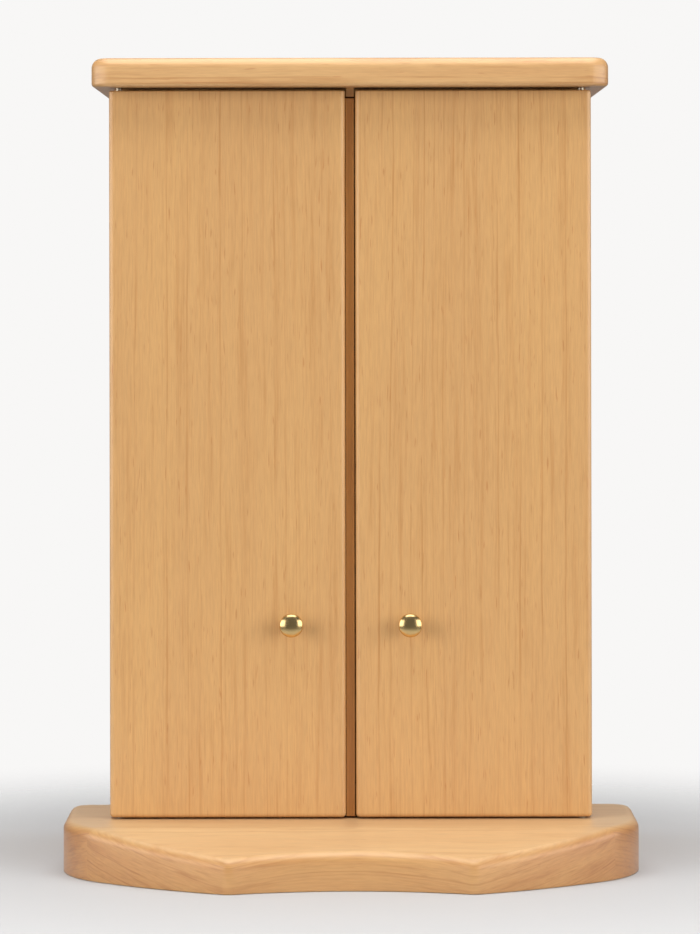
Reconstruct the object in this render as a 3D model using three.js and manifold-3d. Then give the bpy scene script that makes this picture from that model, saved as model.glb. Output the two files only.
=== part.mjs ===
// Household altar cabinet: an empty wooden box with two doors, under an overhanging top board, on a
// shaped base. Millimetres, +Z up, front towards -Y. The pieces are laid out from the plane of the
// door fronts, y = 0, and the finished group is moved so that its origin is under the base's centre.

import * as THREE from 'three';
import { mergeVertices } from 'three/addons/utils/BufferGeometryUtils.js';
import Module from 'manifold-3d';

const wasm = await Module();
wasm.setup();

// Base, in plan: distances in front of the door fronts are positive
const baseWidth = 301;
const baseThickness = 27;
const baseEdgeRound = 4.9;
const baseFootRound = 0.8;
const endArcRadius = 69;
const endArcReach = -6.5;
const endArcAngle = 47;
const slantFaceRadius = 270;
const frontCornerSpacing = 124;
const frontCornerRound = 8;
const frontHollowDepth = 12.8;
const wingRearReach = 68.5;
const wingRearRound = 12;
const rearRootRound = 2.5;
const rearCornerRound = 8;
const rearReach = 170;
const ridgeReach = 36;
const frontSlope = 10.5;

// Doors
const doorWidth = 123.3;
const doorThickness = 15;
const doorsGap = 5.4;
const doorFrontRound = 2.5;
const doorBackRound = 0.8;
const doorCornerExtra = 0.3;
const doorBottomClearance = 0.8;
const doorTopClearance = 1.5;

// Box behind the doors
const clearHeight = 382.3;
const panelThickness = 12;
const backThickness = 6;
const backInset = 2;
const sideSetIn = 2;
const doorBackClearance = 1.8;
const railHeight = 4.6;
const railDepth = 14;
const railTongueClearance = 0.5;

// Top board
const topThickness = 15;
const topFrontOverhang = 15;
const topSideOverhang = 8.7;
const topCornerRound = 10.5;
const topUpperRound = 5.2;
const topLowerRound = 1.8;

// Strip between the doors
const stripSetBack = 5.4;
const stripBehindDoor = 3;
const stripDoorClearance = 0.6;
const stripRailClearance = 0.8;

// Hinge pins
const pinDiameter = 3.5;
const pinFromDoorEdge = 5;
const pinInDoor = 10;
const pinInBoard = 8;
const pinClearance = 0.3;
const pinEndClearance = 0.5;

// Knobs
const knobHeadDiameter = 12.4;
const knobHeadFront = 2.8;
const knobHeadBack = 1.8;
const knobNeckDiameter = 5.2;
const knobNeckLength = 6.6;
const knobFootDiameter = 8.4;
const knobFootThickness = 1.2;
const knobFootEdge = 0.7;
const knobNeckFlare = 1.5;
const knobFromDoorEdge = 28.3;
const knobHeight = 128.9;

// Finish
const doorColour = 0xd8a66f;
const boardColour = 0xdcae79;
const innerColour = 0xd0a06c;
const stripColour = 0x9f6a3b;
const brassColour = 0xc9aa5e;
const steelColour = 0xc4c3bd;

// Fineness of the round stretches
const arcStep = 10;
const wideArcStep = 2;
const rimSteps = 5;
const turnedSides = 28;
const boreSides = 20;
const domeSteps = 7;

// How far a drill starts outside its board, and the smallest distance that counts
const drillLeadIn = 1;
const nearlyNothing = 1e-6;

// Sizes that follow from the ones above
const halfBase = baseWidth / 2;
const halfDoors = doorWidth + doorsGap / 2;
const doorCornerRound = doorFrontRound + doorCornerExtra;
const halfBox = halfDoors - sideSetIn;
const halfRear = halfBox + baseEdgeRound;
const doorFloor = baseThickness + doorBottomClearance;
const boardUnderside = baseThickness + clearHeight;
const doorHeight = clearHeight - doorBottomClearance - doorTopClearance;
const boxFront = doorThickness + doorBackClearance;
const boxRear = rearReach - baseEdgeRound;
const railUnderside = boardUnderside - railHeight;
const pinAcross = halfDoors - pinFromDoorEdge;
const pinBack = doorThickness / 2;

const radians = THREE.MathUtils.degToRad;

// Points along an arc, from one angle to the other, in degrees
function arc(centreX, centreY, radius, fromAngle, toAngle, step = arcStep) {
  const steps = Math.max(2, Math.ceil(Math.abs(toAngle - fromAngle) / step));
  const points = [];
  for (let i = 0; i <= steps; i += 1) {
    const angle = radians(fromAngle + ((toAngle - fromAngle) * i) / steps);
    points.push([centreX + radius * Math.cos(angle), centreY + radius * Math.sin(angle)]);
  }
  return points;
}

// The meeting point of two circles that has the larger x
function circlesMeet(a, radiusA, b, radiusB) {
  const apart = Math.hypot(b[0] - a[0], b[1] - a[1]);
  const along = (apart ** 2 + radiusA ** 2 - radiusB ** 2) / (2 * apart);
  const across = Math.sqrt(radiusA ** 2 - along ** 2);
  const ux = (b[0] - a[0]) / apart;
  const uy = (b[1] - a[1]) / apart;
  const first = [a[0] + along * ux - across * uy, a[1] + along * uy + across * ux];
  const second = [a[0] + along * ux + across * uy, a[1] + along * uy - across * ux];
  return first[0] > second[0] ? first : second;
}

function angleFrom(centre, point) {
  return THREE.MathUtils.radToDeg(Math.atan2(point[1] - centre[1], point[0] - centre[0]));
}

// Drops points that repeat the one before them
function withoutRepeats(points) {
  return points.filter((point, i) => {
    const before = points[(i + points.length - 1) % points.length];
    return Math.hypot(point[0] - before[0], point[1] - before[1]) > nearlyNothing;
  });
}

// Right half of the base in plan, from the middle of the front round to the rear, then mirrored
function baseOutline() {
  const endCentre = [halfBase - endArcRadius, -endArcReach];
  const turn = radians(endArcAngle);
  const radiusChange = slantFaceRadius - endArcRadius;
  const slantCentre = [
    endCentre[0] - radiusChange * Math.cos(turn),
    endCentre[1] + radiusChange * Math.sin(turn),
  ];
  const halfSpacing = frontCornerSpacing / 2;
  const cornerY = slantCentre[1] - Math.sqrt(slantFaceRadius ** 2 - (halfSpacing - slantCentre[0]) ** 2);
  const hollowRadius = (halfSpacing ** 2 + frontHollowDepth ** 2) / (2 * frontHollowDepth);
  const hollowCentre = [0, cornerY + frontHollowDepth - hollowRadius];
  const cornerCentre = circlesMeet(
    hollowCentre, hollowRadius + frontCornerRound,
    slantCentre, slantFaceRadius - frontCornerRound,
  );
  const hollowEnd = angleFrom(hollowCentre, cornerCentre);
  const slantStart = angleFrom(slantCentre, cornerCentre);
  const wingSide = wingRearReach - wingRearRound;
  const rootStart = halfRear + rearRootRound;
  const rearSide = rearReach - rearCornerRound;
  const half = [
    ...arc(...hollowCentre, hollowRadius, 90, hollowEnd, wideArcStep),
    ...arc(...cornerCentre, frontCornerRound, hollowEnd - 180, slantStart),
    ...arc(...slantCentre, slantFaceRadius, slantStart, -endArcAngle, wideArcStep),
    ...arc(...endCentre, endArcRadius, -endArcAngle, 0),
    ...arc(halfBase - wingRearRound, wingSide, wingRearRound, 0, 90),
    ...arc(rootStart, wingRearReach + rearRootRound, rearRootRound, 270, 180),
    ...arc(halfRear - rearCornerRound, rearSide, rearCornerRound, 0, 90),
  ];
  const mirrored = half.slice(1).reverse().map(([x, y]) => [-x, y]);
  return withoutRepeats([...half, ...mirrored]);
}

// A rectangle with rounded corners, from its lowest and highest corner
function rectangleOutline(left, low, right, high, round) {
  return [
    ...arc(right - round, high - round, round, 0, 90),
    ...arc(left + round, high - round, round, 90, 180),
    ...arc(left + round, low + round, round, 180, 270),
    ...arc(right - round, low + round, round, 270, 360),
  ];
}

// Gives each point the inward step that keeps the outline parallel to itself
function withInsets(points) {
  return points.map((point, i) => {
    const before = points[(i + points.length - 1) % points.length];
    const after = points[(i + 1) % points.length];
    const a = new THREE.Vector2(point[0] - before[0], point[1] - before[1]).normalize();
    const b = new THREE.Vector2(after[0] - point[0], after[1] - point[1]).normalize();
    const inward = new THREE.Vector2(-a.y - b.y, a.x + b.x).normalize();
    const inset = inward.divideScalar(-a.y * inward.x + a.x * inward.y);
    return { x: point[0], y: point[1], stepX: inset.x, stepY: inset.y };
  });
}

// Adds a point wherever the outline, drawn in by `inset`, crosses the line y = level
function splitAtLevel(outline, inset, level) {
  const result = [];
  outline.forEach((from, i) => {
    const to = outline[(i + 1) % outline.length];
    result.push(from);
    const fromLevel = from.y + inset * from.stepY - level;
    const toLevel = to.y + inset * to.stepY - level;
    if (fromLevel * toLevel < 0) {
      const share = fromLevel / (fromLevel - toLevel);
      result.push({
        x: THREE.MathUtils.lerp(from.x, to.x, share),
        y: THREE.MathUtils.lerp(from.y, to.y, share),
        stepX: THREE.MathUtils.lerp(from.stepX, to.stepX, share),
        stepY: THREE.MathUtils.lerp(from.stepY, to.stepY, share),
      });
    }
  });
  return result;
}

// A board lying flat, with rounded rims. In front of `ridge`, where one is given, its top falls away
function board({ outline, thickness, upperRound, lowerRound, ridge = null, slope = 0 }) {
  let rim = withInsets(outline);
  if (ridge !== null) rim = splitAtLevel(rim, upperRound, ridge);
  const fall = Math.tan(radians(slope));
  const topAt = (y) => (ridge === null ? thickness : thickness - fall * Math.max(0, ridge - y));
  const rings = [];
  const addRing = (inset, heightAt) => {
    rings.push(rim.map((point) => {
      const y = point.y + inset * point.stepY;
      return [point.x + inset * point.stepX, y, heightAt(y)];
    }));
  };
  for (let i = 0; i <= rimSteps; i += 1) {
    const angle = (Math.PI / 2) * (1 - i / rimSteps);
    addRing(lowerRound * (1 - Math.cos(angle)), () => lowerRound * (1 - Math.sin(angle)));
  }
  for (let i = 0; i <= rimSteps; i += 1) {
    const angle = (Math.PI / 2) * (i / rimSteps);
    addRing(upperRound * (1 - Math.cos(angle)), (y) => topAt(y) - upperRound * (1 - Math.sin(angle)));
  }
  const count = rim.length;
  const triangles = [];
  for (let ring = 0; ring + 1 < rings.length; ring += 1) {
    for (let i = 0; i < count; i += 1) {
      const j = (i + 1) % count;
      const low = ring * count;
      const high = low + count;
      triangles.push([low + i, low + j, high + j], [low + i, high + j, high + i]);
    }
  }
  const fillCap = (ring, indices, up) => {
    const contour = indices.map((i) => new THREE.Vector2(rings[ring][i][0], rings[ring][i][1]));
    THREE.ShapeUtils.triangulateShape(contour, []).forEach(([a, b, c]) => {
      const face = [a, b, c].map((k) => ring * count + indices[k]);
      triangles.push(up ? face : face.reverse());
    });
  };
  const everyIndex = rim.map((_, i) => i);
  const last = rings.length - 1;
  fillCap(0, everyIndex, false);
  if (ridge === null) {
    fillCap(last, everyIndex, true);
  } else {
    fillCap(last, everyIndex.filter((i) => rings[last][i][1] <= ridge + nearlyNothing), true);
    fillCap(last, everyIndex.filter((i) => rings[last][i][1] >= ridge - nearlyNothing), true);
  }
  const geometry = new THREE.BufferGeometry();
  geometry.setAttribute('position', new THREE.Float32BufferAttribute(rings.flat(2), 3));
  geometry.setIndex(triangles.flat());
  return geometry;
}

function toSolid(geometry) {
  const bare = geometry.clone();
  bare.deleteAttribute('normal');
  bare.deleteAttribute('uv');
  const merged = mergeVertices(bare);
  return new wasm.Manifold(new wasm.Mesh({
    numProp: 3,
    vertProperties: Float32Array.from(merged.attributes.position.array),
    triVerts: Uint32Array.from(merged.index.array),
  }));
}

function toGeometry(solid) {
  const mesh = solid.getMesh();
  const geometry = new THREE.BufferGeometry();
  geometry.setAttribute('position', new THREE.Float32BufferAttribute(mesh.vertProperties, 3));
  geometry.setIndex(Array.from(mesh.triVerts));
  return geometry;
}

// A bore on the vertical line through (x, y), from `low` to `high`
function drill(geometry, x, y, low, high) {
  const radius = pinDiameter / 2 + pinClearance;
  const tool = new THREE.CylinderGeometry(radius, radius, high - low, boreSides);
  tool.rotateX(Math.PI / 2);
  tool.translate(x, y, (low + high) / 2);
  return toGeometry(toSolid(geometry).subtract(toSolid(tool)));
}

function block(left, front, low, right, rear, high) {
  const geometry = new THREE.BoxGeometry(right - left, rear - front, high - low);
  return geometry.translate((left + right) / 2, (front + rear) / 2, (low + high) / 2);
}

const sides = { left: -1, right: 1 };

function makeBase() {
  let geometry = board({
    outline: baseOutline(),
    thickness: baseThickness,
    upperRound: baseEdgeRound,
    lowerRound: baseFootRound,
    ridge: -ridgeReach,
    slope: frontSlope,
  });
  Object.values(sides).forEach((side) => {
    const boreFloor = baseThickness - pinInBoard - pinEndClearance;
    geometry = drill(geometry, side * pinAcross, pinBack, boreFloor, baseThickness + drillLeadIn);
  });
  return geometry;
}

function makeTopBoard() {
  const half = halfDoors + topSideOverhang;
  let geometry = board({
    outline: rectangleOutline(-half, -topFrontOverhang, half, rearReach, topCornerRound),
    thickness: topThickness,
    upperRound: topUpperRound,
    lowerRound: topLowerRound,
  });
  geometry.translate(0, 0, boardUnderside);
  Object.values(sides).forEach((side) => {
    const boreRoof = boardUnderside + pinInBoard + pinEndClearance;
    geometry = drill(geometry, side * pinAcross, pinBack, boardUnderside - drillLeadIn, boreRoof);
  });
  return geometry;
}

// The door is made lying on its back and stood up, so that the board's top becomes the door's front
function makeDoor(side) {
  const inner = side * (doorsGap / 2);
  const outer = side * halfDoors;
  const bottom = doorFloor;
  const top = doorFloor + doorHeight;
  let geometry = board({
    outline: rectangleOutline(Math.min(inner, outer), bottom, Math.max(inner, outer), top, doorCornerRound),
    thickness: doorThickness,
    upperRound: doorFrontRound,
    lowerRound: doorBackRound,
  });
  geometry.rotateX(Math.PI / 2);
  geometry.translate(0, doorThickness, 0);
  const boreDepth = pinInDoor + pinEndClearance;
  geometry = drill(geometry, side * pinAcross, pinBack, bottom - drillLeadIn, bottom + boreDepth);
  return drill(geometry, side * pinAcross, pinBack, top - boreDepth, top + drillLeadIn);
}

function makeStrip() {
  const left = -doorsGap / 2;
  const right = doorsGap / 2 - stripDoorClearance;
  const top = railUnderside - stripRailClearance;
  return block(left, stripSetBack, doorFloor, right, doorThickness + stripBehindDoor, top);
}

function makeSidePanel(side) {
  const outer = side * halfBox;
  const inner = side * (halfBox - panelThickness);
  const left = Math.min(outer, inner);
  return block(left, boxFront, baseThickness, left + panelThickness, boxRear, boardUnderside);
}

function makeBackPanel() {
  const half = halfBox - panelThickness;
  const rear = boxRear - backInset;
  return block(-half, rear - backThickness, baseThickness, half, rear, boardUnderside);
}

// The rail that the doors close against, with a short tongue between them, in line with the strip
function makeRail() {
  const half = halfBox - panelThickness;
  const rear = boxFront + railDepth;
  const rail = block(-half, boxFront, railUnderside, half, rear, boardUnderside);
  const halfTongue = doorsGap / 2 - railTongueClearance;
  const tongue = block(-halfTongue, stripSetBack, railUnderside, halfTongue, rear, boardUnderside);
  return toGeometry(toSolid(rail).add(toSolid(tongue)));
}

// Turned knob: foot, waisted neck and a low-domed head, on an axis that points out of the door
function makeKnob(side) {
  const head = knobHeadDiameter / 2;
  const neck = knobNeckDiameter / 2;
  const foot = knobFootDiameter / 2;
  const neckTop = knobFootThickness + knobNeckLength;
  const rimHeight = neckTop + knobHeadBack;
  const profile = [
    new THREE.Vector2(0, 0),
    new THREE.Vector2(foot, 0),
    new THREE.Vector2(foot, knobFootEdge),
    new THREE.Vector2((foot + neck) / 2, knobFootThickness),
    new THREE.Vector2(neck, knobFootThickness + knobNeckFlare),
  ];
  for (let i = 0; i <= domeSteps; i += 1) {
    const angle = (Math.PI / 2) * (i / domeSteps);
    const radius = neck + (head - neck) * Math.sin(angle);
    profile.push(new THREE.Vector2(radius, rimHeight - knobHeadBack * Math.cos(angle)));
  }
  for (let i = 1; i < domeSteps; i += 1) {
    const angle = (Math.PI / 2) * (i / domeSteps);
    profile.push(new THREE.Vector2(head * Math.cos(angle), rimHeight + knobHeadFront * Math.sin(angle)));
  }
  profile.push(new THREE.Vector2(0, rimHeight + knobHeadFront));
  const geometry = new THREE.LatheGeometry(profile, turnedSides);
  geometry.rotateX(Math.PI);
  return geometry.translate(side * (doorsGap / 2 + knobFromDoorEdge), 0, knobHeight);
}

function makePin(side, low, high) {
  const radius = pinDiameter / 2;
  const geometry = new THREE.CylinderGeometry(radius, radius, high - low, boreSides);
  geometry.rotateX(Math.PI / 2);
  return geometry.translate(side * pinAcross, pinBack, (low + high) / 2);
}

function finish(colour, roughness, metalness) {
  return () => new THREE.MeshStandardMaterial({ color: colour, roughness, metalness });
}

const doorWood = finish(doorColour, 0.45, 0);
const boardWood = finish(boardColour, 0.42, 0);
const innerWood = finish(innerColour, 0.5, 0);
const stripWood = finish(stripColour, 0.5, 0);
const brass = finish(brassColour, 0.2, 1);
const steel = finish(steelColour, 0.35, 1);

const cabinet = new THREE.Group();

function addPiece(name, geometry, material) {
  const mesh = new THREE.Mesh(geometry, material());
  mesh.name = name;
  cabinet.add(mesh);
}

addPiece('base', makeBase(), boardWood);
addPiece('top_board', makeTopBoard(), boardWood);
addPiece('back_panel', makeBackPanel(), innerWood);
addPiece('door_stop_rail', makeRail(), innerWood);
addPiece('meeting_strip', makeStrip(), stripWood);

Object.entries(sides).forEach(([name, side]) => {
  const doorTop = doorFloor + doorHeight;
  addPiece(`side_panel_${name}`, makeSidePanel(side), innerWood);
  addPiece(`door_${name}`, makeDoor(side), doorWood);
  addPiece(`knob_${name}`, makeKnob(side), brass);
  addPiece(
    `hinge_pin_bottom_${name}`,
    makePin(side, baseThickness - pinInBoard, doorFloor + pinInDoor),
    steel,
  );
  addPiece(
    `hinge_pin_top_${name}`,
    makePin(side, doorTop - pinInDoor, boardUnderside + pinInBoard),
    steel,
  );
});

const frontReach = -Math.min(...baseOutline().map(([, y]) => y));
cabinet.position.y = (frontReach - rearReach) / 2;

export default cabinet;
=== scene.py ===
"""Household altar cabinet in light, satin-lacquered wood: an empty box with two hinged doors, an
overhanging top board and a shaped base. Metres, +Z up, front towards -Y."""

import math

import bmesh
import bpy
from mathutils import Matrix, Vector


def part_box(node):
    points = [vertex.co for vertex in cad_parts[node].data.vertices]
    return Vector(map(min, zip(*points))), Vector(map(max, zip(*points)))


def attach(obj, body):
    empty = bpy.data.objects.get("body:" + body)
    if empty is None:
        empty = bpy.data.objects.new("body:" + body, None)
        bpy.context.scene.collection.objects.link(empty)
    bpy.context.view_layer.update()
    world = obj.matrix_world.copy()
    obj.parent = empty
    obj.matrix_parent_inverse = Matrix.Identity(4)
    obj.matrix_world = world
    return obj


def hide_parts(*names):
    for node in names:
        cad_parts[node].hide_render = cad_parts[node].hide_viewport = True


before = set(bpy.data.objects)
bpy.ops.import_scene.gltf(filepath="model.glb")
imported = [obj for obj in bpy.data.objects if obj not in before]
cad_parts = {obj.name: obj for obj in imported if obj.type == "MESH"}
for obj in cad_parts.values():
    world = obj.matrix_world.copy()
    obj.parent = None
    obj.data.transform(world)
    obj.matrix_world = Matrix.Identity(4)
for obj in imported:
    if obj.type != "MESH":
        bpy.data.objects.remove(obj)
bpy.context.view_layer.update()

MM = 0.001

# Axes by number, and how near two places count as one
FRONT_TO_BACK, UP = 1, 2
SAME_PLACE = 1e-6

# Places taken from the frame
DOOR_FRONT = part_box("door_left")[0].y
BASE_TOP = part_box("base")[1].z

# Base board, in plan, from the plane of the door fronts
HALF_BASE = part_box("base")[1].x
END_ARC_RADIUS = 69 * MM
END_ARC_BACK = 6.5 * MM
END_ARC_ANGLE = 47
SLANT_FACE_RADIUS = 270 * MM
FRONT_CORNER_SPACING = 124 * MM
FRONT_CORNER_ROUND = 8 * MM
FRONT_HOLLOW_DEPTH = 12.8 * MM
WING_REAR_REACH = 68.5 * MM
WING_REAR_ROUND = 12 * MM
REAR_ROOT_ROUND = 2.5 * MM
REAR_CORNER_ROUND = 8 * MM
REAR_HALF = 128.9 * MM
BASE_EDGE_ROUND = 4.9 * MM
BASE_FOOT_ROUND = 0.8 * MM
RIDGE_REACH = 36 * MM
RIDGE_ROUND = 6 * MM
RIDGE_STEPS = 8
FRONT_SLOPE = 10.5

# The base's front board, which lies the other way up: where its rings stand against the rear one's,
# and how far the rings lean, for each metre ahead of the joint, in each board
FRONT_BOARD_OFFSET = 13.7 * MM
FRONT_BOARD_LEAN = 0.45
REAR_BOARD_LEAN = -0.24

# Top board and doors
TOP_CORNER_ROUND = 10.5 * MM
TOP_UPPER_ROUND = 5.2 * MM
TOP_LOWER_ROUND = 1.8 * MM
DOOR_SIDE_ROUND = 2.6 * MM
DOOR_TOP_ROUND = 0.8 * MM
DOOR_FOOT_ROUND = 2.2 * MM
DOOR_BACK_ROUND = 0.8 * MM
PANEL_EDGE = 0.5 * MM
RAIL_TONGUE_HALF = 2.2 * MM
RAIL_EDGE = 0.3 * MM
STRIP_BEVEL = 0.3 * MM
STRIP_EDGE = 0.3 * MM

# The narrow border inside a large flat, where the smooth shading of the rounds comes to its end
FLAT_BORDER = 0.25 * MM

# Knobs and pins
KNOB_NECK = 5.2 * MM
KNOB_NECK_LENGTH = 6.6 * MM
KNOB_NECK_FLARE = 1.5 * MM
KNOB_FLARE_STEPS = 6
KNOB_FOOT = 8.4 * MM
KNOB_FOOT_THICKNESS = 1.2 * MM
KNOB_FOOT_EDGE = 0.35 * MM
KNOB_FOOT_BREAK = 0.15 * MM
KNOB_SHOULDER_INSET = 0.1 * MM
KNOB_SHOULDER_HEIGHT = 0.55 * MM
KNOB_HEAD_BACK = 1.8 * MM
KNOB_HEAD_FRONT = 2.8 * MM
PIN_TIP = 0.4 * MM

# Camera, worked out from the photograph: level, with the frame shifted down below the horizon
PHOTO_HEIGHT = 934
FOCAL_PIXELS = 4360
HORIZON_PIXEL = 275
CAMERA_ROLL = 0.1
CAMERA_DISTANCE = 2.278
CAMERA_HEIGHT = 0.3113
CAMERA_ACROSS = -0.0001

# Softboxes: power in watts, and width and height in metres
OVERHEAD_POWER, OVERHEAD_SIZE = 24.5, (1.6, 1.5)
OVERHEAD_SHINE_POWER, OVERHEAD_SHINE_SIZE = 15.5, (1.2, 1.5)
SIDE_POWER, SIDE_SIZE = 18, (1.05, 1.0)
SIDE_SHINE_POWER, SIDE_SHINE_SIZE = 18, (2.2, 1.0)
REAR_POWER, REAR_SHINE_POWER, REAR_SIZE = 4.5, 1, (2.4, 0.6)
SOFTBOX_WHITE = "#FFFDFA"
WHITE = "#FFFFFF"

# The dim light all round, and the pale surround that the camera sees
SURROUNDING_STRENGTH = 0.16
PALE_SURROUND = "#F8F7F6"

# Floor: solid under the cabinet and fading out into the pale surround
FLOOR_SOLID = 0.2
FLOOR_REACH = 0.5
FLOOR_DROP = 0.1 * MM

# How much wider the grain's marks are around the rings than through them
RING_FLATNESS = 6

# Marks that every wood has, in millimetres: width, then length along the grain. Real fibre is finer
# than this, which is as fine as the render can show.
FIBRE_MARK = (0.6, 9)
FLECK_MARK = (0.9, 11)
THREAD_WIDTH = 1.1
STREAK_LENGTH = 90
BROAD_LENGTH = 260
LINE_FADE_WIDTH = 8
WANDER_WIDTH = 5

# Depth of the grain's relief, and the roughness of the lacquer film over it
RELIEF_DEPTH = 0.02 * MM
FILM_ROUGHNESS = 0.36

# Metal: turned lines on the pins, in millimetres, and patches of haze about a millimetre across
TURNED_LINE = (0.12, 6)
HAZE_PER_METRE = 900.0


def linear(hex_colour):
    """An sRGB hex colour as a linear RGBA value."""
    channels = []
    for start in (1, 3, 5):
        value = int(hex_colour[start:start + 2], 16) / 255
        channels.append(value / 12.92 if value <= 0.04045 else ((value + 0.055) / 1.055) ** 2.4)
    return (*channels, 1.0)


def add_node(tree, kind, links=None, values=None, **settings):
    """Adds a shader node, sets its properties and unlinked inputs, and links its other inputs."""
    node = tree.nodes.new(kind)
    for name, value in settings.items():
        setattr(node, name, value)
    for key, value in (values or {}).items():
        node.inputs[key].default_value = value
    for key, source in (links or {}).items():
        tree.links.new(source, node.inputs[key])
    return node


def new_material(name):
    material = bpy.data.materials.new(name)
    material.use_nodes = True
    material.node_tree.nodes.clear()
    return material, material.node_tree


def maths(tree, operation, *terms):
    """A Math node on sockets and plain numbers, in order."""
    links = {i: term for i, term in enumerate(terms) if not isinstance(term, (int, float))}
    values = {i: term for i, term in enumerate(terms) if isinstance(term, (int, float))}
    return add_node(tree, "ShaderNodeMath", links, values, operation=operation).outputs[0]


def blend_colour(tree, factor, a, b):
    """One colour turning into another; each is a socket or an RGBA value."""
    node = tree.nodes.new("ShaderNodeMix")
    node.data_type = "RGBA"
    tree.links.new(factor, node.inputs["Factor"])
    for key, colour in ((6, a), (7, b)):
        if isinstance(colour, tuple):
            node.inputs[key].default_value = colour
        else:
            tree.links.new(colour, node.inputs[key])
    return node.outputs[2]


def grain_noise(tree, place, across_mm, along_mm, detail, seed=0.0):
    """Noise in a board's own directions: drawn out along the grain, and RING_FLATNESS times as wide
    around the rings as through them."""
    scale = (1 / (along_mm * MM), 1 / (across_mm * RING_FLATNESS * MM), 1 / (across_mm * MM))
    mapping = add_node(
        tree, "ShaderNodeMapping", {"Vector": place},
        {"Scale": scale, "Location": (seed, seed * 0.7, seed * 1.3)},
    )
    noise = add_node(
        tree, "ShaderNodeTexNoise", {"Vector": mapping.outputs[0]},
        {"Scale": 1.0, "Detail": detail, "Roughness": 0.55},
    )
    return noise.outputs["Fac"]


def smooth_step(tree, value, low, high):
    return add_node(
        tree, "ShaderNodeMapRange", {"Value": value}, {"From Min": low, "From Max": high},
        interpolation_type="SMOOTHSTEP",
    ).outputs[0]


def dot(tree, position, direction):
    return add_node(
        tree, "ShaderNodeVectorMath", {0: position}, {1: direction}, operation="DOT_PRODUCT",
    ).outputs["Value"]


def through_rings(tree, position, look):
    """Distance through the growth rings. The base's front board lies the other way up."""
    through = dot(tree, position, look["through"])
    if "joint_y" not in look:
        return through
    ahead = maths(tree, "SUBTRACT", look["joint_y"], dot(tree, position, (0.0, 1.0, 0.0)))
    in_front = maths(tree, "GREATER_THAN", ahead, 0.0)
    lean = maths(tree, "MULTIPLY_ADD", in_front, FRONT_BOARD_LEAN - REAR_BOARD_LEAN, REAR_BOARD_LEAN)
    leaning = maths(tree, "MULTIPLY_ADD", ahead, lean, through)
    return maths(tree, "MULTIPLY_ADD", in_front, FRONT_BOARD_OFFSET, leaning)


def board_place(tree, position, look):
    """Where a point lies in its board, in metres: along the grain, around the rings, through them."""
    along = dot(tree, position, look["along"])
    around = dot(tree, position, look["around"])
    through = through_rings(tree, position, look)
    flat = add_node(tree, "ShaderNodeCombineXYZ", {"X": along, "Y": around, "Z": through}).outputs[0]
    slow = grain_noise(tree, flat, look["wave_across"], look["wave_along"], 1.0, look["seed"])
    small = grain_noise(tree, flat, WANDER_WIDTH, look["wander_along"], 2.0, look["seed"] + 3.1)
    through = maths(tree, "MULTIPLY_ADD", slow, look["wave_mm"] * MM, through)
    through = maths(tree, "MULTIPLY_ADD", small, look["wander_mm"] * MM, through)
    wavy = add_node(tree, "ShaderNodeCombineXYZ", {"X": along, "Y": around, "Z": through}).outputs[0]
    return wavy, through


def end_grain_and_painted_light(tree, depth):
    """How deep or pale the colour is for each way that a face turns: deeper on a board's edges and end
    grain, which take the lacquer deeper, and, where a look asks for it, painted shade on faces turned from
    the lamps and a painted light on faces turned up.
    """
    facing = add_node(tree, "ShaderNodeTexCoord").outputs["Normal"]
    squared = add_node(
        tree, "ShaderNodeVectorMath", {0: facing, 1: facing}, operation="MULTIPLY",
    ).outputs["Vector"]
    return maths(tree, "ADD", 1.0, dot(tree, squared, depth))


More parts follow.
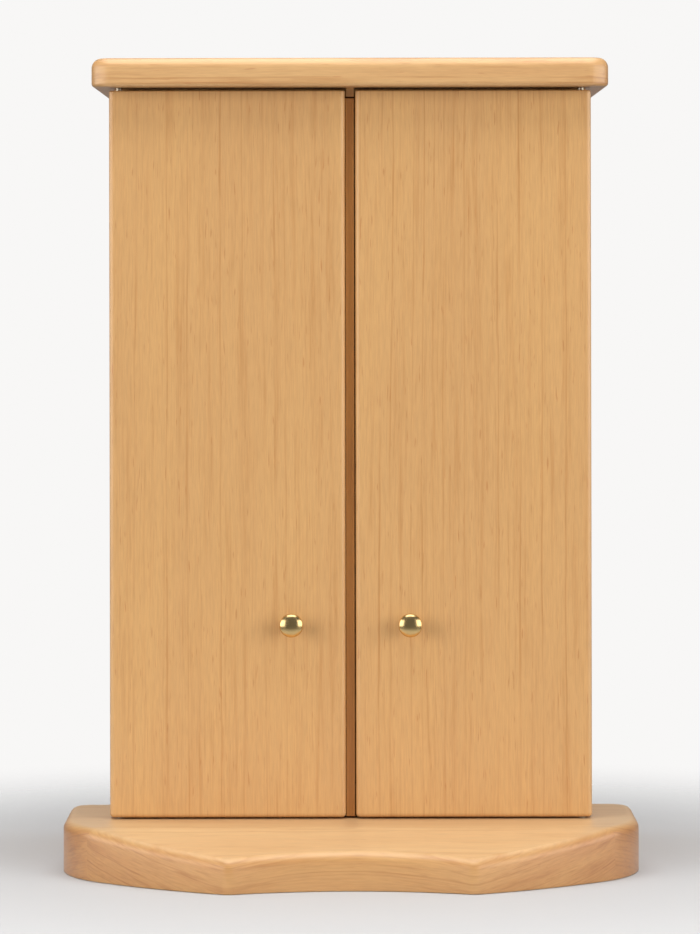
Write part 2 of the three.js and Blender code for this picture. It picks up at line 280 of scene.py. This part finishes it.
def wood(name, look):
    """Clear-lacquered light hardwood: soft growth lines, fine fibre, short reddish flecks and a satin
    film that gives a broad soft gloss."""
    material, tree = new_material(name)
    position = add_node(tree, "ShaderNodeTexCoord").outputs["Object"]
    seed = look["seed"]

    place, through = board_place(tree, position, look)
    rings = maths(tree, "DIVIDE", through, look["ring_mm"] * MM)
    ring_random = add_node(
        tree, "ShaderNodeTexWhiteNoise", {"W": maths(tree, "FLOOR", rings)}, noise_dimensions="1D",
    ).outputs["Value"]
    phase = maths(tree, "FRACT", rings)
    # A line darkens slowly through its ring and ends sharply; each ring has a strength of its own,
    # and no line runs the whole length of the board
    rise = smooth_step(tree, phase, 1 - look["line_width"], 0.95)
    fall = smooth_step(tree, phase, 1.0, 0.95)
    line = maths(tree, "MULTIPLY", rise, fall)
    line = maths(tree, "MULTIPLY", line, maths(tree, "POWER", ring_random, 1.6))
    fading = grain_noise(tree, place, LINE_FADE_WIDTH, look["line_length"], 2.0, seed + 7.7)
    line = maths(tree, "MULTIPLY", line, smooth_step(tree, fading, 0.3, 0.6))

    broad = grain_noise(tree, place, look["broad_mm"], BROAD_LENGTH, 2.0, seed + 1.9)
    streak = grain_noise(tree, place, look["streak_mm"], STREAK_LENGTH, 3.0, seed + 5.3)
    fibre = grain_noise(tree, place, *FIBRE_MARK, 2.0, seed + 9.4)
    thread = grain_noise(tree, place, THREAD_WIDTH, look["thread_length"], 2.0, seed + 8.1)
    fleck = grain_noise(tree, place, *FLECK_MARK, 1.0, seed + 11.2)

    broad = smooth_step(tree, broad, 0.3, 0.7)
    colour = blend_colour(tree, broad, linear(look["light"]), linear(look["middle"]))
    for mark, kind, tint in (
        (smooth_step(tree, streak, 0.5, 0.78), "streak", "dark"),
        (smooth_step(tree, thread, 0.5, 0.75), "thread", "dark"),
        (line, "line", "dark"),
        (smooth_step(tree, fleck, 0.66, 0.8), "fleck", "red"),
    ):
        strength = maths(tree, "MULTIPLY", mark, look[kind])
        colour = blend_colour(tree, strength, colour, linear(look[tint]))
    shade = add_node(
        tree, "ShaderNodeMapRange", {"Value": fibre},
        {"From Min": 0.25, "From Max": 0.75, "To Min": 1 - look["fibre"], "To Max": 1 + look["fibre"]},
    ).outputs[0]
    colour = add_node(
        tree, "ShaderNodeVectorMath", {0: colour, "Scale": shade}, operation="SCALE",
    ).outputs["Vector"]
    # Deeper or paler by the way each face turns: end grain, and on the base also painted shade and a
    # painted light
    colour = add_node(
        tree, "ShaderNodeGamma", {"Color": colour, "Gamma": end_grain_and_painted_light(tree, look["end_grain_and_painted_light"])},
    ).outputs[0]

    relief = maths(tree, "MULTIPLY_ADD", line, -0.6, fibre)
    bump = add_node(
        tree, "ShaderNodeBump", {"Height": relief}, {"Strength": 0.25, "Distance": RELIEF_DEPTH},
    )
    roughness = add_node(
        tree, "ShaderNodeMapRange", {"Value": fibre},
        {"From Min": 0.2, "From Max": 0.8, "To Min": look["rough"] - 0.04, "To Max": look["rough"] + 0.05},
    ).outputs[0]
    shader = add_node(
        tree, "ShaderNodeBsdfPrincipled",
        {"Base Color": colour, "Roughness": roughness, "Normal": bump.outputs[0]},
        {
            "IOR": 1.5, "Specular IOR Level": 0.5,
            "Coat Weight": look["coat"], "Coat Roughness": FILM_ROUGHNESS,
        },
    )
    add_node(tree, "ShaderNodeOutputMaterial", {"Surface": shader.outputs[0]})
    return material


def polished_brass():
    """Turned and polished brass: a clear mirror, pale gold, with the faintest hazing from handling."""
    material, tree = new_material("polished brass")
    position = add_node(tree, "ShaderNodeTexCoord").outputs["Object"]
    haze = add_node(
        tree, "ShaderNodeTexNoise", {"Vector": position}, {"Scale": HAZE_PER_METRE, "Detail": 3.0},
    ).outputs["Fac"]
    roughness = add_node(
        tree, "ShaderNodeMapRange", {"Value": haze}, {"To Min": 0.2, "To Max": 0.26},
    ).outputs[0]
    colour = blend_colour(tree, haze, linear("#E0C38C"), linear("#D5B478"))
    shader = add_node(
        tree, "ShaderNodeBsdfPrincipled", {"Base Color": colour, "Roughness": roughness}, {"Metallic": 1.0},
    )
    add_node(tree, "ShaderNodeOutputMaterial", {"Surface": shader.outputs[0]})
    return material


def bright_steel():
    """Bright-drawn steel rod, turned to size: fine lines round the pin and a soft metallic shine."""
    material, tree = new_material("bright-drawn steel")
    position = add_node(tree, "ShaderNodeTexCoord").outputs["Object"]
    turned = grain_noise(tree, position, *TURNED_LINE, 2.0)
    roughness = add_node(
        tree, "ShaderNodeMapRange", {"Value": turned}, {"To Min": 0.3, "To Max": 0.42},
    ).outputs[0]
    colour = blend_colour(tree, turned, linear("#D9CDB6"), linear("#B9AC94"))
    shader = add_node(
        tree, "ShaderNodeBsdfPrincipled", {"Base Color": colour, "Roughness": roughness}, {"Metallic": 1.0},
    )
    add_node(tree, "ShaderNodeOutputMaterial", {"Surface": shader.outputs[0]})
    return material


# Doors: straight-grained light hardwood, sanded and sprayed with satin lacquer: fine upright lines,
# a reddish fleck here and there, a little deeper on the sawn ends
DOOR_LOOK = {
    "along": (0.0, 0.0, 1.0), "around": (0.0, 1.0, 0.0), "through": (1.0, 0.12, 0.0), "seed": 2.0,
    "ring_mm": 5.6, "line_width": 0.24, "line": 0.7, "line_length": 110,
    "wave_across": 60, "wave_along": 500, "wave_mm": 9, "wander_along": 60, "wander_mm": 2.2,
    "broad_mm": 22, "streak_mm": 2.6, "streak": 0.38, "thread": 0.27, "thread_length": 48,
    "fleck": 0.55, "fibre": 0.07, "rough": 0.4, "coat": 0.5, "end_grain_and_painted_light": (0.0, 0.0, 0.3),
    "light": "#C79B65", "middle": "#C39763", "dark": "#A9733D", "red": "#A56836",
}
# Top board: solid light hardwood lying flat, with the grain along it: close, soft, wavy lines on its
# front edge under a slightly fuller film of the same lacquer
BOARD_LOOK = {
    **DOOR_LOOK,
    "along": (1.0, 0.0, 0.0), "through": (0.0, 0.1, 1.0), "seed": 21.0,
    "ring_mm": 2.6, "line_width": 0.55, "line": 0.8, "line_length": 80,
    "wave_across": 30, "wave_along": 220, "wave_mm": 6, "wander_mm": 2,
    "broad_mm": 10, "streak_mm": 3.2, "streak": 0.5, "thread": 0.26,
    "fleck": 0.4, "coat": 0.6, "end_grain_and_painted_light": (0.2, 0.0, 0.0),
    "light": "#C8A06E", "middle": "#C29766", "dark": "#A67342", "red": "#A3683C",
}
# Base: the top board's wood, glued up of two boards whose rings lean apart at the joint; its round
# ends and front are deeper, partly end grain that takes the lacquer deeper and partly painted shade on
# faces turned from the lamps, and its top is painted paler, a painted light from the lamp overhead
BASE_LOOK = {
    **BOARD_LOOK,
    "through": (0.0, 0.0, 1.0), "joint_y": DOOR_FRONT - RIDGE_REACH, "seed": 33.0,
    # the negative share upwards paints the top paler, a painted light
    "ring_mm": 1.8, "line": 0.62, "thread": 0.28, "fleck": 0.3, "end_grain_and_painted_light": (0.62, 0.2, -0.22),
}
# Box and stop rail: the doors' wood, plain, with the lines cut at another slant
INNER_LOOK = {**DOOR_LOOK, "through": (1.0, 0.7, 0.0), "seed": 47.0}
# Strip between the doors: close-grained wood, browner and more orange than the doors, under the same
# lacquer
STRIP_LOOK = {
    **DOOR_LOOK, "seed": 58.0, "ring_mm": 2.4,
    "light": "#C48A47", "middle": "#B87E3F", "dark": "#9A622E", "red": "#8F5627",
}

DOOR_WOOD = wood("door wood, straight grain", DOOR_LOOK)
BOARD_WOOD = wood("top board wood", BOARD_LOOK)
BASE_WOOD = wood("base wood, two boards", BASE_LOOK)
INNER_WOOD = wood("box wood", INNER_LOOK)
STRIP_WOOD = wood("brown strip wood", STRIP_LOOK)
BRASS = polished_brass()
STEEL = bright_steel()


def make_piece(name, mesh_in_work, node, body, material):
    """Turns a finished bmesh into a piece that stands for a CAD node and moves with its body."""
    bmesh.ops.recalc_face_normals(mesh_in_work, faces=mesh_in_work.faces)
    mesh = bpy.data.meshes.new(name)
    mesh_in_work.to_mesh(mesh)
    mesh_in_work.free()
    for polygon in mesh.polygons:
        polygon.use_smooth = True
    mesh.materials.append(material)
    piece = bpy.data.objects.new(name, mesh)
    bpy.context.scene.collection.objects.link(piece)
    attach(piece, body)
    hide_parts(node)


def round_edges(work, edges, radius, segments):
    bmesh.ops.bevel(
        work, geom=edges, offset=radius, offset_type="OFFSET", segments=segments, profile=0.5,
        affect="EDGES", material=-1, clamp_overlap=False,
    )


def hold_flats(work, least_mm2):
    """A narrow border inside each large flat, so that smooth shading ends at its edge."""
    flats = [face for face in work.faces if face.calc_area() > least_mm2 * MM * MM]
    bmesh.ops.inset_individual(work, faces=flats, thickness=FLAT_BORDER, use_even_offset=True)


def level_edges(work, height, axis):
    """The edges that lie wholly at one height, or at one place along another axis."""
    return [
        edge for edge in work.edges
        if all(abs(vertex.co[axis] - height) < SAME_PLACE for vertex in edge.verts)
    ]


def cuboid(work, low, high):
    made = bmesh.ops.create_cube(work, size=1.0)
    size = high - low
    bmesh.ops.scale(work, vec=size, verts=made["verts"])
    bmesh.ops.translate(work, vec=(low + high) / 2, verts=made["verts"])


def rim_edges(work, height):
    """The outer edges of a board's top or underside: those between it and the board's sides."""
    return [
        edge for edge in level_edges(work, height, UP)
        if any(abs(face.normal.z) < 0.5 for face in edge.link_faces)
    ]


def circles_meet(a, radius_a, b, radius_b):
    """The meeting point of two circles in plan that has the larger x."""
    apart = (b - a).length
    along = (apart ** 2 + radius_a ** 2 - radius_b ** 2) / (2 * apart)
    across = math.sqrt(radius_a ** 2 - along ** 2)
    step = (b - a) / apart
    side = Vector((-step.y, step.x, 0)) * across
    return max(a + step * along + side, a + step * along - side, key=lambda point: point.x)


def angle_from(centre, point):
    return math.degrees(math.atan2(point.y - centre.y, point.x - centre.x))


def carry_round(work, vertex, centre, degrees, steps):
    """Carries an outline on from its last vertex, along an arc, and gives back the new last one."""
    made = bmesh.ops.spin(
        work, geom=[vertex], cent=centre, axis=(0, 0, 1), angle=math.radians(degrees), steps=steps,
        use_merge=False, use_duplicate=False,
    )
    return made["geom_last"][0]


def carry_straight(work, vertex, place):
    """Carries an outline on in a straight line."""
    made = bmesh.ops.extrude_vert_indiv(work, verts=[vertex])
    made["verts"][0].co = place
    return made["verts"][0]


def raise_outline(work, height):
    """Fills a closed outline and raises it to a board of the given height."""
    bmesh.ops.contextual_create(work, geom=work.edges[:])
    raised = bmesh.ops.extrude_face_region(work, geom=work.faces[:])
    upper = [item for item in raised["geom"] if isinstance(item, bmesh.types.BMVert)]
    bmesh.ops.translate(work, vec=(0, 0, height), verts=upper)
    bmesh.ops.recalc_face_normals(work, faces=work.faces)


def base_plan(work):
    """The base's outline in plan: hollow middle, slanted faces, round ends, narrower rear."""
    front = Vector((0, DOOR_FRONT, 0))
    end_centre = front + Vector((HALF_BASE - END_ARC_RADIUS, END_ARC_BACK, 0))
    turn = math.radians(END_ARC_ANGLE)
    towards_slant = Vector((-math.cos(turn), math.sin(turn), 0))
    slant_centre = end_centre + towards_slant * (SLANT_FACE_RADIUS - END_ARC_RADIUS)
    half_spacing = FRONT_CORNER_SPACING / 2
    corner_y = slant_centre.y - math.sqrt(SLANT_FACE_RADIUS ** 2 - (half_spacing - slant_centre.x) ** 2)
    hollow_radius = (half_spacing ** 2 + FRONT_HOLLOW_DEPTH ** 2) / (2 * FRONT_HOLLOW_DEPTH)
    hollow_y = corner_y + FRONT_HOLLOW_DEPTH
    hollow_centre = Vector((0, hollow_y - hollow_radius, 0))
    corner_centre = circles_meet(
        hollow_centre, hollow_radius + FRONT_CORNER_ROUND,
        slant_centre, SLANT_FACE_RADIUS - FRONT_CORNER_ROUND,
    )
    hollow_end = angle_from(hollow_centre, corner_centre)
    slant_start = angle_from(slant_centre, corner_centre)
    rear_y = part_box("base")[1].y
    wing_side = DOOR_FRONT + WING_REAR_REACH - WING_REAR_ROUND
    wing_rear = DOOR_FRONT + WING_REAR_REACH
    wing_x = HALF_BASE - WING_REAR_ROUND
    rear_side = rear_y - REAR_CORNER_ROUND
    root_x = REAR_HALF + REAR_ROOT_ROUND

    vertex = bmesh.ops.create_vert(work, co=(0, hollow_y, 0))["vert"][0]
    vertex = carry_round(work, vertex, hollow_centre, hollow_end - 90, steps=16)
    vertex = carry_round(work, vertex, corner_centre, slant_start - hollow_end + 180, steps=10)
    vertex = carry_round(work, vertex, slant_centre, -END_ARC_ANGLE - slant_start, steps=10)
    vertex = carry_round(work, vertex, end_centre, END_ARC_ANGLE, steps=22)
    vertex = carry_straight(work, vertex, (HALF_BASE, wing_side, 0))
    vertex = carry_round(work, vertex, (wing_x, wing_side, 0), 90, steps=14)
    vertex = carry_straight(work, vertex, (root_x, wing_rear, 0))
    vertex = carry_round(work, vertex, (root_x, wing_rear + REAR_ROOT_ROUND, 0), -90, steps=6)
    vertex = carry_straight(work, vertex, (REAR_HALF, rear_side, 0))
    vertex = carry_round(work, vertex, (REAR_HALF - REAR_CORNER_ROUND, rear_side, 0), 90, steps=8)
    carry_straight(work, vertex, (0, rear_y, 0))


def make_base():
    """The base: cut to its outline, its rims rounded, and its top sloped in front of the ridge."""
    work = bmesh.new()
    base_plan(work)
    half = work.verts[:] + work.edges[:]
    bmesh.ops.mirror(work, geom=half, matrix=Matrix.Identity(4), merge_dist=SAME_PLACE, axis="X")
    bmesh.ops.remove_doubles(work, verts=work.verts, dist=SAME_PLACE)
    raise_outline(work, BASE_TOP)
    work.normal_update()
    round_edges(work, rim_edges(work, BASE_TOP), BASE_EDGE_ROUND, segments=8)
    work.normal_update()
    round_edges(work, rim_edges(work, 0), BASE_FOOT_ROUND, segments=3)
    ridge_y = DOOR_FRONT - RIDGE_REACH
    for step in range(RIDGE_STEPS + 1):
        cut_y = ridge_y + RIDGE_ROUND * (1 - 2 * step / RIDGE_STEPS)
        bmesh.ops.bisect_plane(
            work, geom=work.verts[:] + work.edges[:] + work.faces[:],
            plane_co=(0, cut_y, 0), plane_no=(0, 1, 0),
        )
    fall = math.tan(math.radians(FRONT_SLOPE))
    for vertex in work.verts:
        ahead = ridge_y + RIDGE_ROUND - vertex.co.y
        if vertex.co.z > BASE_TOP / 2 and ahead > 0:
            over_ridge = fall * ahead ** 2 / (4 * RIDGE_ROUND)
            vertex.co.z -= over_ridge if ahead < 2 * RIDGE_ROUND else fall * (ahead - RIDGE_ROUND)
    work.normal_update()
    hold_flats(work, least_mm2=2000)
    make_piece("shaped_base", work, "base", "cabinet", BASE_WOOD)


def make_top_board():
    """The top board: round corners, a generous round above and a small one below."""
    low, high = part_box("top_board")
    work = bmesh.new()
    cuboid(work, low, high)
    corners = [edge for edge in work.edges if abs(edge.verts[0].co.z - edge.verts[1].co.z) > SAME_PLACE]
    round_edges(work, corners, TOP_CORNER_ROUND, segments=10)
    work.normal_update()
    round_edges(work, rim_edges(work, low.z), TOP_LOWER_ROUND, segments=6)
    work.normal_update()
    round_edges(work, rim_edges(work, high.z), TOP_UPPER_ROUND, segments=8)
    hold_flats(work, least_mm2=60)
    make_piece("overhanging_top", work, "top_board", "cabinet", BOARD_WOOD)


def make_door(side):
    """A door leaf: well-rounded upright edges, lightly eased ends and square corners."""
    low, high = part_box(f"door_{side}")
    work = bmesh.new()
    cuboid(work, low, high)
    upright = [
        edge for edge in level_edges(work, low.y, FRONT_TO_BACK)
        if abs(edge.verts[0].co.x - edge.verts[1].co.x) < SAME_PLACE
    ]
    round_edges(work, upright, DOOR_SIDE_ROUND, segments=8)
    work.normal_update()
    for height, radius in ((low.z, DOOR_FOOT_ROUND), (high.z, DOOR_TOP_ROUND)):
        ends = [
            edge for edge in rim_edges(work, height)
            if any(vertex.co.y < low.y + DOOR_SIDE_ROUND - SAME_PLACE for vertex in edge.verts)
        ]
        round_edges(work, ends, radius, segments=5)
        work.normal_update()
    round_edges(work, level_edges(work, high.y, FRONT_TO_BACK), DOOR_BACK_ROUND, segments=3)
    hold_flats(work, least_mm2=60)
    make_piece(f"{side}_leaf", work, f"door_{side}", f"{side}_door", DOOR_WOOD)


def make_panel(name, node):
    """A wall of the box: a plain sawn board with its arrises just broken."""
    low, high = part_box(node)
    work = bmesh.new()
    cuboid(work, low, high)
    round_edges(work, work.edges[:], PANEL_EDGE, segments=3)
    hold_flats(work, least_mm2=30)
    make_piece(name, work, node, "cabinet", INNER_WOOD)


def make_strip():
    """The brown strip between the doors; its closing side is narrower behind, to clear the right door."""
    low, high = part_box("meeting_strip")
    work = bmesh.new()
    cuboid(work, low, high)
    for vertex in work.verts:
        if vertex.co.x > 0 and vertex.co.y < (low.y + high.y) / 2:
            vertex.co.x += STRIP_BEVEL
    round_edges(work, work.edges[:], STRIP_EDGE, segments=3)
    hold_flats(work, least_mm2=30)
    make_piece("strip_between_doors", work, "meeting_strip", "left_door", STRIP_WOOD)


def make_stop_rail():
    """The rail that the doors close against, with a short tongue that shows between them."""
    low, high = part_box("door_stop_rail")
    rail_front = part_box("side_panel_left")[0].y
    work = bmesh.new()
    vertex = bmesh.ops.create_vert(work, co=(low.x, high.y, low.z))["vert"][0]
    for x, y in (
        (low.x, rail_front), (-RAIL_TONGUE_HALF, rail_front), (-RAIL_TONGUE_HALF, low.y),
        (RAIL_TONGUE_HALF, low.y), (RAIL_TONGUE_HALF, rail_front), (high.x, rail_front), (high.x, high.y),
    ):
        vertex = carry_straight(work, vertex, (x, y, low.z))
    work.verts.ensure_lookup_table()
    work.edges.new((vertex, work.verts[0]))
    raise_outline(work, high.z - low.z)
    round_edges(work, work.edges[:], RAIL_EDGE, segments=2)
    hold_flats(work, least_mm2=30)
    make_piece("stop_rail", work, "door_stop_rail", "cabinet", INNER_WOOD)


def spin_profile(points, centre, axis, steps):
    """Turns a profile of (radius, height) points about an axis; it starts and ends on the axis."""
    work = bmesh.new()
    vertex = bmesh.ops.create_vert(work, co=(points[0][0], 0, points[0][1]))["vert"][0]
    for radius, height in points[1:]:
        vertex = carry_straight(work, vertex, (radius, 0, height))
    bmesh.ops.spin(
        work, geom=work.verts[:] + work.edges[:], cent=(0, 0, 0), axis=(0, 0, 1),
        angle=math.tau, steps=steps, use_merge=True, use_duplicate=False,
    )
    bmesh.ops.remove_doubles(work, verts=work.verts, dist=1e-7)
    bmesh.ops.dissolve_degenerate(work, dist=1e-8, edges=work.edges)
    turn = Vector((0, 0, 1)).rotation_difference(Vector(axis)).to_matrix()
    bmesh.ops.rotate(work, cent=(0, 0, 0), matrix=turn, verts=work.verts)
    bmesh.ops.translate(work, vec=centre, verts=work.verts)
    return work


def quarter_ellipse(centre, half_radius, half_height, steps, start=0):
    """Points of a quarter ellipse as (radius, height), from beside its centre to above or below it."""
    angles = (math.pi / 2 * step / steps for step in range(start, steps + 1))
    return [
        (centre[0] + half_radius * math.cos(angle), centre[1] + half_height * math.sin(angle))
        for angle in angles
    ]


def make_knob(side):
    """A turned knob: a round foot on the door, a waisted neck and a low-domed head."""
    low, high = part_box(f"knob_{side}")
    head = (high.x - low.x) / 2
    neck, foot = KNOB_NECK / 2, KNOB_FOOT / 2
    neck_top = KNOB_FOOT_THICKNESS + KNOB_NECK_LENGTH
    rim = neck_top + KNOB_HEAD_BACK
    shoulder = foot - KNOB_SHOULDER_INSET
    flare_top = KNOB_FOOT_THICKNESS + KNOB_NECK_FLARE
    points = [
        (0, 0), (foot - KNOB_FOOT_BREAK, 0), (foot, KNOB_FOOT_BREAK), (foot, KNOB_FOOT_EDGE),
        (shoulder, KNOB_SHOULDER_HEIGHT),
    ]
    for step in range(1, KNOB_FLARE_STEPS + 1):
        share = step / KNOB_FLARE_STEPS
        height = KNOB_SHOULDER_HEIGHT + (flare_top - KNOB_SHOULDER_HEIGHT) * share
        points.append((neck + (shoulder - neck) * (1 - share) ** 2, height))
    points += quarter_ellipse((neck, rim), head - neck, -KNOB_HEAD_BACK, steps=14)[::-1]
    points += quarter_ellipse((0, rim), head, KNOB_HEAD_FRONT, steps=20, start=1)
    centre = Vector(((low.x + high.x) / 2, high.y, (low.z + high.z) / 2))
    work = spin_profile(points, centre, (0, -1, 0), steps=64)
    make_piece(f"{side}_knob", work, f"knob_{side}", f"{side}_door", BRASS)


def make_pin(level, side):
    """A pivot pin: a short length of rod with both ends broken."""
    node = f"hinge_pin_{level}_{side}"
    low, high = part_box(node)
    radius, length = (high.x - low.x) / 2, high.z - low.z
    points = [
        (0, 0), (radius - PIN_TIP, 0), (radius, PIN_TIP),
        (radius, length - PIN_TIP), (radius - PIN_TIP, length), (0, length),
    ]
    centre = Vector(((low.x + high.x) / 2, (low.y + high.y) / 2, low.z))
    work = spin_profile(points, centre, (0, 0, 1), steps=32)
    make_piece(f"{level}_{side}_pin", work, node, "cabinet", STEEL)


def make_floor():
    """A plain pale floor, matt, that fades out into the pale surround."""
    work = bmesh.new()
    bmesh.ops.create_circle(work, cap_ends=True, radius=FLOOR_REACH, segments=96)
    bmesh.ops.translate(work, vec=(0, 0, -FLOOR_DROP), verts=work.verts)
    mesh = bpy.data.meshes.new("pale floor")
    work.to_mesh(mesh)
    work.free()
    material, tree = new_material("pale matt floor")
    position = add_node(tree, "ShaderNodeTexCoord").outputs["Object"]
    distance = add_node(tree, "ShaderNodeVectorMath", {0: position}, operation="LENGTH").outputs["Value"]
    fade = smooth_step(tree, distance, FLOOR_SOLID, FLOOR_REACH)
    paint = add_node(
        tree, "ShaderNodeBsdfPrincipled", None,
        {"Base Color": linear("#C1C3C6"), "Roughness": 0.9, "Specular IOR Level": 0.2},
    )
    clear = add_node(tree, "ShaderNodeBsdfTransparent")
    mixed = add_node(tree, "ShaderNodeMixShader", {0: fade, 1: paint.outputs[0], 2: clear.outputs[0]})
    add_node(tree, "ShaderNodeOutputMaterial", {"Surface": mixed.outputs[0]})
    mesh.materials.append(material)
    floor = bpy.data.objects.new("pale_floor", mesh)
    bpy.context.scene.collection.objects.link(floor)


def make_camera():
    """A level camera; the frame is shifted down below the horizon, and turned by a hair."""
    data = bpy.data.cameras.new("photo camera")
    data.sensor_width = 36.0
    data.lens = FOCAL_PIXELS / PHOTO_HEIGHT * data.sensor_width
    camera = bpy.data.objects.new("photo camera", data)
    bpy.context.scene.collection.objects.link(camera)
    data.shift_y = (HORIZON_PIXEL - PHOTO_HEIGHT / 2) / PHOTO_HEIGHT
    place = Matrix.Translation((CAMERA_ACROSS, DOOR_FRONT - CAMERA_DISTANCE, CAMERA_HEIGHT))
    aim = Matrix.Rotation(math.pi / 2, 4, "X")
    roll = Matrix.Rotation(math.radians(-CAMERA_ROLL), 4, "Z")
    camera.matrix_world = place @ aim @ roll
    bpy.context.scene.camera = camera


def soft_light(name, place, target, size, power, colour, shine):
    """A rectangular softbox that either lights what is matt or shows only as a shine. One that lights
    what is matt is sampled by itself, so that it doesn't hide a shine in the same place."""
    data = bpy.data.lights.new(name, "AREA")
    data.shape = "RECTANGLE"
    data.size, data.size_y = size
    data.energy = power
    data.color = linear(colour)[:3]
    data.cycles.use_multiple_importance_sampling = shine
    light = bpy.data.objects.new(name, data)
    bpy.context.scene.collection.objects.link(light)
    light.location = place
    light.visible_camera = False
    light.visible_glossy = shine
    light.visible_diffuse = not shine
    light.rotation_euler = (Vector(target) - Vector(place)).to_track_quat("-Z", "Y").to_euler()


def make_lights():
    """A large softbox overhead, one on each side in front, and a dim one behind. Each has a matt part,
    which lights the wood, and a shine, which shows in the gloss and in the knobs."""
    above, ground = (0, -0.15, 1.4), (0, -0.15, 0)
    soft_light("overhead", above, ground, OVERHEAD_SIZE, OVERHEAD_POWER, SOFTBOX_WHITE, shine=False)
    soft_light(
        "overhead shine", above, ground, OVERHEAD_SHINE_SIZE, OVERHEAD_SHINE_POWER, WHITE, shine=True)
    for side in (-1, 1):
        beside, door = (side * 1.18, -0.96, 0.5), (0, DOOR_FRONT, 0.5)
        soft_light(f"side {side}", beside, door, SIDE_SIZE, SIDE_POWER, SOFTBOX_WHITE, shine=False)
        beside, door = (side * 1.41, -0.55, 0.46), (0, DOOR_FRONT, 0.46)
        soft_light(
            f"side shine {side}", beside, door, SIDE_SHINE_SIZE, SIDE_SHINE_POWER, WHITE, shine=True)
    behind, middle = (0, 1.7, 0.3), (0, 0, 0.3)
    soft_light("rear", behind, middle, REAR_SIZE, REAR_POWER, WHITE, shine=False)
    soft_light("rear shine", behind, middle, REAR_SIZE, REAR_SHINE_POWER, WHITE, shine=True)


def make_surround():
    """A pale studio all round for the camera, which gives the object only a dim light."""
    world = bpy.data.worlds.new("studio")
    world.use_nodes = True
    tree = world.node_tree
    tree.nodes.clear()
    dim = add_node(tree, "ShaderNodeBackground", None, {0: linear(WHITE), 1: SURROUNDING_STRENGTH})
    pale = add_node(tree, "ShaderNodeBackground", None, {0: linear(PALE_SURROUND), 1: 1.0})
    seen = add_node(tree, "ShaderNodeLightPath").outputs["Is Camera Ray"]
    mixed = add_node(tree, "ShaderNodeMixShader", {0: seen, 1: dim.outputs[0], 2: pale.outputs[0]})
    add_node(tree, "ShaderNodeOutputWorld", {"Surface": mixed.outputs[0]})
    bpy.context.scene.world = world


make_camera()
make_lights()
make_surround()
make_floor()
make_base()
make_top_board()
make_panel("left_wall", "side_panel_left")
make_panel("right_wall", "side_panel_right")
make_panel("rear_wall", "back_panel")
make_stop_rail()
make_strip()
for side in ("left", "right"):
    make_door(side)
    make_knob(side)
    for level in ("bottom", "top"):
        make_pin(level, side)

bpy.context.scene.view_settings.view_transform = "Standard"
